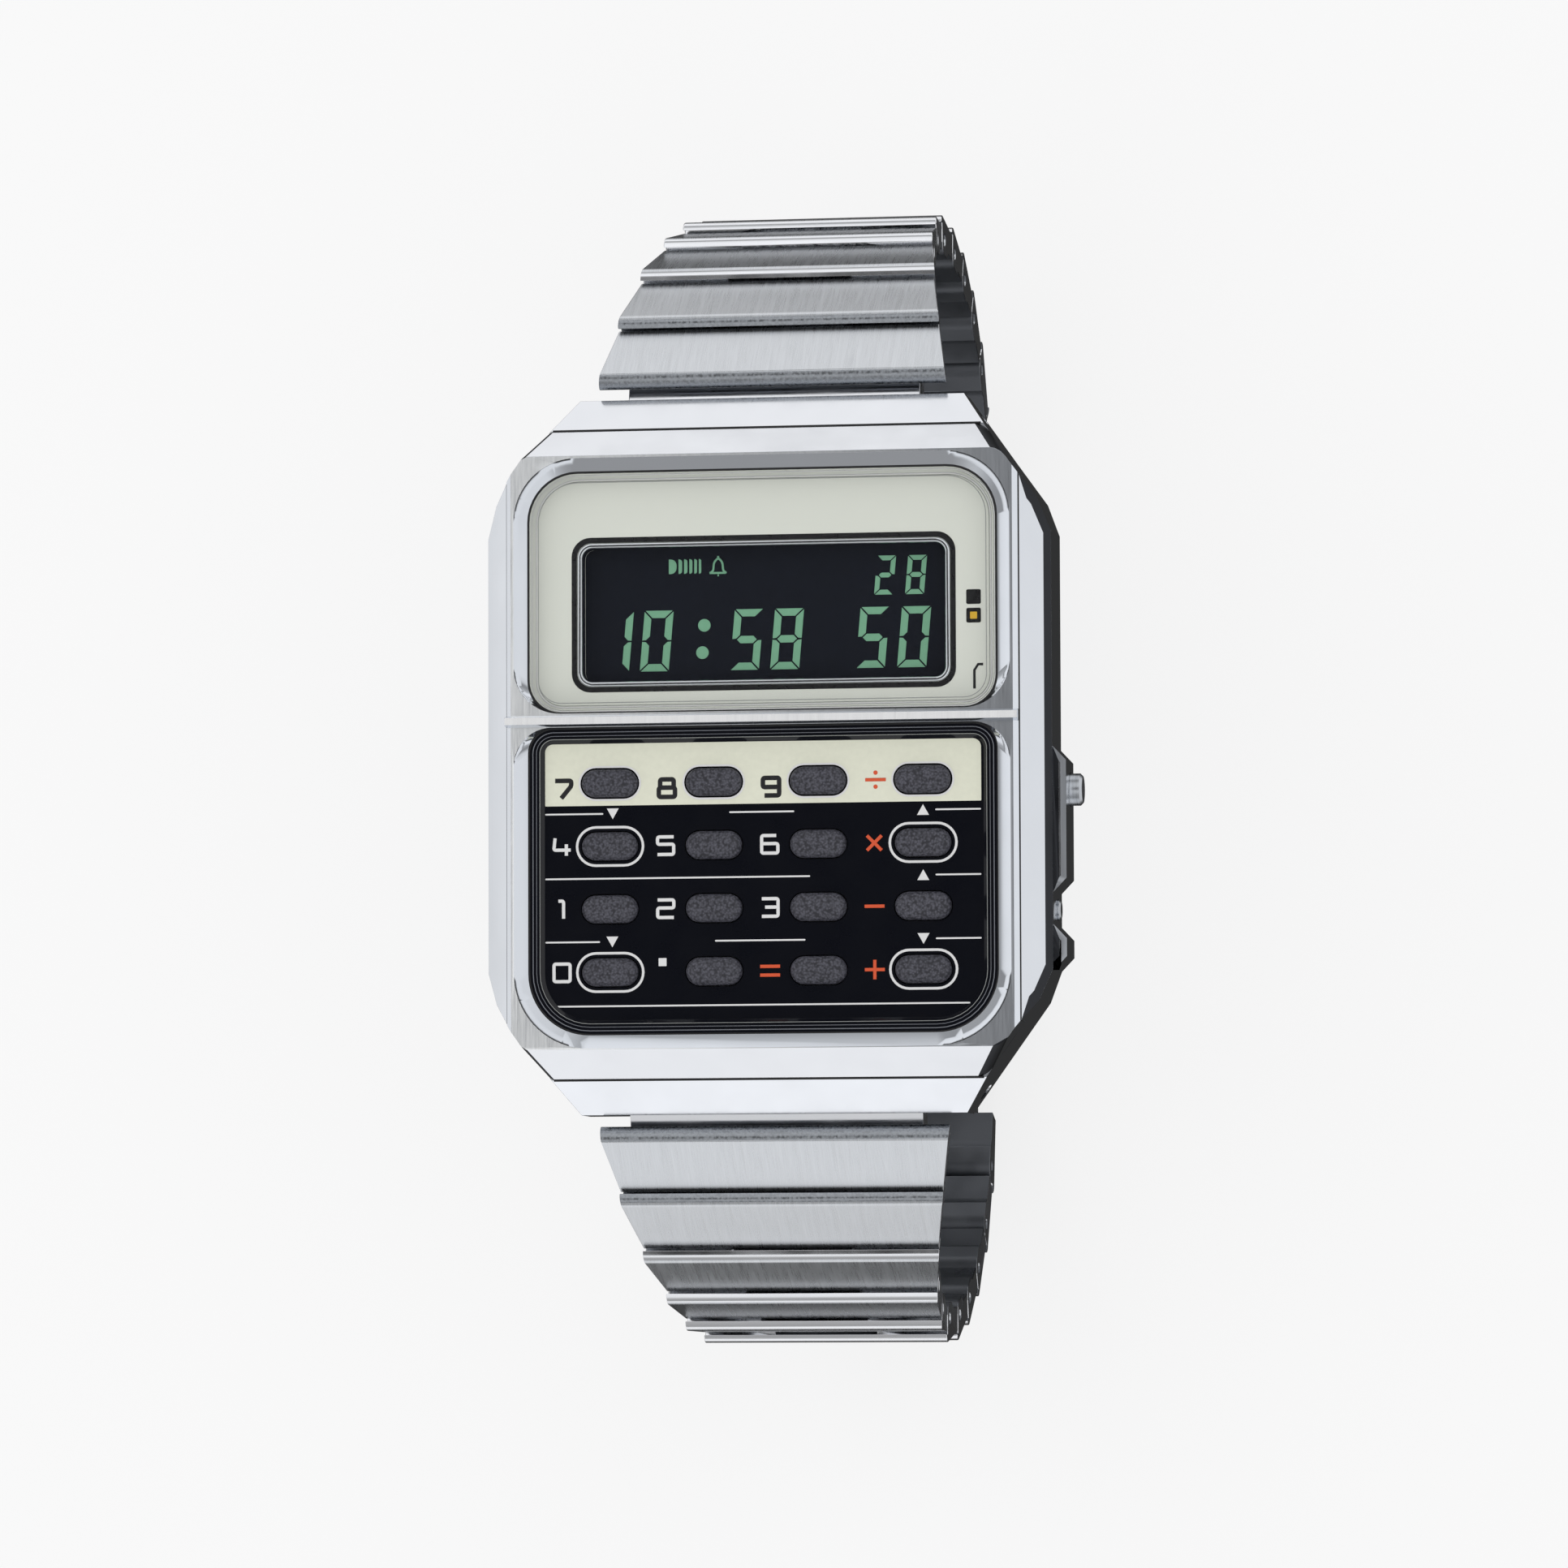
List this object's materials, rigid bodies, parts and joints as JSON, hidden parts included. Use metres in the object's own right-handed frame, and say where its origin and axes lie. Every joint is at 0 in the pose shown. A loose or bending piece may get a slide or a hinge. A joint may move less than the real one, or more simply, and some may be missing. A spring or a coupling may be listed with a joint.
{
  "type": "calculator watch",
  "caption": "Rectangular digital calculator watch with a display window over a keypad, on a tapering folded-link steel bracelet with a fold-over clasp.",
  "frame": {"origin": "centre of the case back's outer face, which lies on the wrist", "axes": "+Z out of the dial, +Y to 12 o'clock, +X to 3 o'clock, where the pusher is"},
  "size_m": [0.0358, 0.0706, 0.0506],
  "materials": {
    "case_steel": "polished",
    "bezel_steel": "polished",
    "band_steel": "brushed along the band",
    "inner_steel": "satin",
    "window_glass": "clear",
    "dial_cream": "satin",
    "lcd": "dark cell",
    "panel_black": "glossy",
    "key_rubber": "fine grain",
    "board_green": "satin",
    "frame_plastic": "satin",
    "spring_brass": "bare",
    "gasket_rubber": "matt"
  },
  "bodies": {
    "case": {"case_body": "case_steel", "bezel": "bezel_steel", "display_window": "window_glass", "dial_plate": "dial_cream", "lcd_panel": "lcd", "keypad_panel": "panel_black", "key_mat": "gasket_rubber", "circuit_board": "board_green", "module_frame": "frame_plastic", "battery": "inner_steel", "battery_clip": "spring_brass", "buzzer": "spring_brass", "case_back": "inner_steel", "case_gasket": "gasket_rubber", "case_screws": "inner_steel", "spring_bars": "inner_steel"},
    "mode_pusher": {"mode_pusher": "case_steel"},
    "adjust_pusher": {"adjust_pusher": "case_steel"},
    "key_seven": {"key_seven": "key_rubber"},
    "key_eight": {"key_eight": "key_rubber"},
    "key_nine": {"key_nine": "key_rubber"},
    "key_divide": {"key_divide": "key_rubber"},
    "key_four": {"key_four": "key_rubber"},
    "key_five": {"key_five": "key_rubber"},
    "key_six": {"key_six": "key_rubber"},
    "key_multiply": {"key_multiply": "key_rubber"},
    "key_one": {"key_one": "key_rubber"},
    "key_two": {"key_two": "key_rubber"},
    "key_three": {"key_three": "key_rubber"},
    "key_minus": {"key_minus": "key_rubber"},
    "key_zero": {"key_zero": "key_rubber"},
    "key_point": {"key_point": "key_rubber"},
    "key_equals": {"key_equals": "key_rubber"},
    "key_plus": {"key_plus": "key_rubber"},
    "lower_link_01": {"lower_link_01": "band_steel"},
    "lower_link_02": {"lower_link_02": "band_steel"},
    "lower_link_03": {"lower_link_03": "band_steel"},
    "lower_link_04": {"lower_link_04": "band_steel"},
    "lower_link_05": {"lower_link_05": "band_steel"},
    "lower_link_06": {"lower_link_06": "band_steel"},
    "lower_link_07": {"lower_link_07": "band_steel"},
    "lower_link_08": {"lower_link_08": "band_steel"},
    "lower_link_09": {"lower_link_09": "band_steel"},
    "lower_link_10": {"lower_link_10": "band_steel"},
    "lower_link_11": {"lower_link_11": "band_steel"},
    "upper_link_01": {"upper_link_01": "band_steel"},
    "upper_link_02": {"upper_link_02": "band_steel"},
    "upper_link_03": {"upper_link_03": "band_steel"},
    "upper_link_04": {"upper_link_04": "band_steel"},
    "upper_link_05": {"upper_link_05": "band_steel"},
    "upper_link_06": {"upper_link_06": "band_steel"},
    "upper_link_07": {"upper_link_07": "band_steel"},
    "upper_link_08": {"upper_link_08": "band_steel"},
    "upper_link_09": {"upper_link_09": "band_steel"},
    "upper_link_10": {"upper_link_10": "band_steel"},
    "upper_link_11": {"upper_link_11": "band_steel"},
    "buckle": {"band_tail": "band_steel", "buckle_base": "inner_steel"},
    "cover": {"clasp_cover": "band_steel"},
    "lock": {"lock_plate": "inner_steel"}
  },
  "joints": [
    {"name": "press_seven", "type": "slide", "parent": "case", "child": "key_seven", "axis": [0, 0, -1], "range_m": [0, 0.0004], "stiffness_N_per_m": 1500, "springref_m": -0.00015},
    {"name": "press_eight", "type": "slide", "parent": "case", "child": "key_eight", "axis": [0, 0, -1], "range_m": [0, 0.0004], "stiffness_N_per_m": 1500, "springref_m": -0.00015},
    {"name": "press_nine", "type": "slide", "parent": "case", "child": "key_nine", "axis": [0, 0, -1], "range_m": [0, 0.0004], "stiffness_N_per_m": 1500, "springref_m": -0.00015},
    {"name": "press_divide", "type": "slide", "parent": "case", "child": "key_divide", "axis": [0, 0, -1], "range_m": [0, 0.0004], "stiffness_N_per_m": 1500, "springref_m": -0.00015},
    {"name": "press_four", "type": "slide", "parent": "case", "child": "key_four", "axis": [0, 0, -1], "range_m": [0, 0.0004], "stiffness_N_per_m": 1500, "springref_m": -0.00015},
    {"name": "press_five", "type": "slide", "parent": "case", "child": "key_five", "axis": [0, 0, -1], "range_m": [0, 0.0004], "stiffness_N_per_m": 1500, "springref_m": -0.00015},
    {"name": "press_six", "type": "slide", "parent": "case", "child": "key_six", "axis": [0, 0, -1], "range_m": [0, 0.0004], "stiffness_N_per_m": 1500, "springref_m": -0.00015},
    {"name": "press_multiply", "type": "slide", "parent": "case", "child": "key_multiply", "axis": [0, 0, -1], "range_m": [0, 0.0004], "stiffness_N_per_m": 1500, "springref_m": -0.00015},
    {"name": "press_one", "type": "slide", "parent": "case", "child": "key_one", "axis": [0, 0, -1], "range_m": [0, 0.0004], "stiffness_N_per_m": 1500, "springref_m": -0.00015},
    {"name": "press_two", "type": "slide", "parent": "case", "child": "key_two", "axis": [0, 0, -1], "range_m": [0, 0.0004], "stiffness_N_per_m": 1500, "springref_m": -0.00015},
    {"name": "press_three", "type": "slide", "parent": "case", "child": "key_three", "axis": [0, 0, -1], "range_m": [0, 0.0004], "stiffness_N_per_m": 1500, "springref_m": -0.00015},
    {"name": "press_minus", "type": "slide", "parent": "case", "child": "key_minus", "axis": [0, 0, -1], "range_m": [0, 0.0004], "stiffness_N_per_m": 1500, "springref_m": -0.00015},
    {"name": "press_zero", "type": "slide", "parent": "case", "child": "key_zero", "axis": [0, 0, -1], "range_m": [0, 0.0004], "stiffness_N_per_m": 1500, "springref_m": -0.00015},
    {"name": "press_point", "type": "slide", "parent": "case", "child": "key_point", "axis": [0, 0, -1], "range_m": [0, 0.0004], "stiffness_N_per_m": 1500, "springref_m": -0.00015},
    {"name": "press_equals", "type": "slide", "parent": "case", "child": "key_equals", "axis": [0, 0, -1], "range_m": [0, 0.0004], "stiffness_N_per_m": 1500, "springref_m": -0.00015},
    {"name": "press_plus", "type": "slide", "parent": "case", "child": "key_plus", "axis": [0, 0, -1], "range_m": [0, 0.0004], "stiffness_N_per_m": 1500, "springref_m": -0.00015},
    {"name": "press_mode", "type": "slide", "parent": "case", "child": "mode_pusher", "axis": [-1, 0, 0], "range_m": [0, 0.0006], "stiffness_N_per_m": 1500, "springref_m": -0.0002},
    {"name": "press_adjust", "type": "slide", "parent": "case", "child": "adjust_pusher", "axis": [-1, 0, 0], "range_m": [0, 0.0004], "stiffness_N_per_m": 1500, "springref_m": -0.0002},
    {"name": "lower_bend_01", "type": "hinge", "parent": "case", "child": "lower_link_01", "pos_m": [0, -0.0203, 0.0019], "axis": [-1, 0, 0], "range_deg": [0, 16]},
    {"name": "lower_bend_02", "type": "hinge", "parent": "lower_link_01", "child": "lower_link_02", "pos_m": [0, -0.02658, -0.00065], "axis": [-1, 0, 0], "range_deg": [0, 6]},
    {"name": "lower_bend_03", "type": "hinge", "parent": "lower_link_02", "child": "lower_link_03", "pos_m": [0, -0.02963, -0.00429], "axis": [-1, 0, 0], "range_deg": [0, 6]},
    {"name": "lower_bend_04", "type": "hinge", "parent": "lower_link_03", "child": "lower_link_04", "pos_m": [0, -0.03186, -0.00848], "axis": [-1, 0, 0], "range_deg": [0, 5.5]},
    {"name": "lower_bend_05", "type": "hinge", "parent": "lower_link_04", "child": "lower_link_05", "pos_m": [0, -0.03325, -0.01303], "axis": [-1, 0, 0], "range_deg": [0, 5]},
    {"name": "lower_bend_06", "type": "hinge", "parent": "lower_link_05", "child": "lower_link_06", "pos_m": [0, -0.03383, -0.01774], "axis": [-1, 0, 0], "range_deg": [0, 5]},
    {"name": "lower_bend_07", "type": "hinge", "parent": "lower_link_06", "child": "lower_link_07", "pos_m": [0, -0.03358, -0.02248], "axis": [-1, 0, 0], "range_deg": [0, 5]},
    {"name": "lower_bend_08", "type": "hinge", "parent": "lower_link_07", "child": "lower_link_08", "pos_m": [0, -0.03251, -0.02711], "axis": [-1, 0, 0], "range_deg": [0, 5.5]},
    {"name": "lower_bend_09", "type": "hinge", "parent": "lower_link_08", "child": "lower_link_09", "pos_m": [0, -0.03058, -0.03145], "axis": [-1, 0, 0], "range_deg": [0, 6.5]},
    {"name": "lower_bend_10", "type": "hinge", "parent": "lower_link_09", "child": "lower_link_10", "pos_m": [0, -0.02772, -0.03524], "axis": [-1, 0, 0], "range_deg": [0, 8]},
    {"name": "lower_bend_11", "type": "hinge", "parent": "lower_link_10", "child": "lower_link_11", "pos_m": [0, -0.02393, -0.0381], "axis": [-1, 0, 0], "range_deg": [0, 9.5]},
    {"name": "upper_bend_01", "type": "hinge", "parent": "case", "child": "upper_link_01", "pos_m": [0, 0.0203, 0.0019], "axis": [1, 0, 0], "range_deg": [0, 16]},
    {"name": "upper_bend_02", "type": "hinge", "parent": "upper_link_01", "child": "upper_link_02", "pos_m": [0, 0.02658, -0.00065], "axis": [1, 0, 0], "range_deg": [0, 6]},
    {"name": "upper_bend_03", "type": "hinge", "parent": "upper_link_02", "child": "upper_link_03", "pos_m": [0, 0.02963, -0.00429], "axis": [1, 0, 0], "range_deg": [0, 6]},
    {"name": "upper_bend_04", "type": "hinge", "parent": "upper_link_03", "child": "upper_link_04", "pos_m": [0, 0.03186, -0.00848], "axis": [1, 0, 0], "range_deg": [0, 5.5]},
    {"name": "upper_bend_05", "type": "hinge", "parent": "upper_link_04", "child": "upper_link_05", "pos_m": [0, 0.03325, -0.01303], "axis": [1, 0, 0], "range_deg": [0, 5]},
    {"name": "upper_bend_06", "type": "hinge", "parent": "upper_link_05", "child": "upper_link_06", "pos_m": [0, 0.03383, -0.01774], "axis": [1, 0, 0], "range_deg": [0, 5]},
    {"name": "upper_bend_07", "type": "hinge", "parent": "upper_link_06", "child": "upper_link_07", "pos_m": [0, 0.03358, -0.02248], "axis": [1, 0, 0], "range_deg": [0, 5]},
    {"name": "upper_bend_08", "type": "hinge", "parent": "upper_link_07", "child": "upper_link_08", "pos_m": [0, 0.03251, -0.02711], "axis": [1, 0, 0], "range_deg": [0, 5.5]},
    {"name": "upper_bend_09", "type": "hinge", "parent": "upper_link_08", "child": "upper_link_09", "pos_m": [0, 0.03058, -0.03145], "axis": [1, 0, 0], "range_deg": [0, 6.5]},
    {"name": "upper_bend_10", "type": "hinge", "parent": "upper_link_09", "child": "upper_link_10", "pos_m": [0, 0.02772, -0.03524], "axis": [1, 0, 0], "range_deg": [0, 8]},
    {"name": "upper_bend_11", "type": "hinge", "parent": "upper_link_10", "child": "upper_link_11", "pos_m": [0, 0.02393, -0.0381], "axis": [1, 0, 0], "range_deg": [0, 11.5]},
    {"name": "buckle_bend", "type": "hinge", "parent": "lower_link_11", "child": "buckle", "pos_m": [0, -0.01941, -0.03957], "axis": [-1, 0, 0], "range_deg": [0, 9]},
    {"name": "cover_open", "type": "hinge", "parent": "buckle", "child": "cover", "pos_m": [0, -0.01701, -0.0406], "axis": [-1, 0, 0], "range_deg": [0, 120]},
    {"name": "lock_lift", "type": "hinge", "parent": "buckle", "child": "lock", "pos_m": [0, -0.0048, -0.03807], "axis": [-1, 0, 0], "range_deg": [0, 75]}
  ],
  "couplings": [
    {"joint": "lower_bend_02", "follows": "lower_bend_01", "ratio": 0.375},
    {"joint": "lower_bend_03", "follows": "lower_bend_01", "ratio": 0.375},
    {"joint": "lower_bend_04", "follows": "lower_bend_01", "ratio": 0.34375},
    {"joint": "lower_bend_05", "follows": "lower_bend_01", "ratio": 0.3125},
    {"joint": "lower_bend_06", "follows": "lower_bend_01", "ratio": 0.3125},
    {"joint": "lower_bend_07", "follows": "lower_bend_01", "ratio": 0.3125},
    {"joint": "lower_bend_08", "follows": "lower_bend_01", "ratio": 0.34375},
    {"joint": "lower_bend_09", "follows": "lower_bend_01", "ratio": 0.40625},
    {"joint": "lower_bend_10", "follows": "lower_bend_01", "ratio": 0.5},
    {"joint": "lower_bend_11", "follows": "lower_bend_01", "ratio": 0.59375},
    {"joint": "upper_bend_01", "follows": "lower_bend_01", "ratio": 1},
    {"joint": "upper_bend_02", "follows": "lower_bend_01", "ratio": 0.375},
    {"joint": "upper_bend_03", "follows": "lower_bend_01", "ratio": 0.375},
    {"joint": "upper_bend_04", "follows": "lower_bend_01", "ratio": 0.34375},
    {"joint": "upper_bend_05", "follows": "lower_bend_01", "ratio": 0.3125},
    {"joint": "upper_bend_06", "follows": "lower_bend_01", "ratio": 0.3125},
    {"joint": "upper_bend_07", "follows": "lower_bend_01", "ratio": 0.3125},
    {"joint": "upper_bend_08", "follows": "lower_bend_01", "ratio": 0.34375},
    {"joint": "upper_bend_09", "follows": "lower_bend_01", "ratio": 0.40625},
    {"joint": "upper_bend_10", "follows": "lower_bend_01", "ratio": 0.5},
    {"joint": "upper_bend_11", "follows": "lower_bend_01", "ratio": 0.71875},
    {"joint": "buckle_bend", "follows": "lower_bend_01", "ratio": 0.5625},
    {"joint": "cover_open", "follows": "lower_bend_01", "ratio": 7.5}
  ]
}
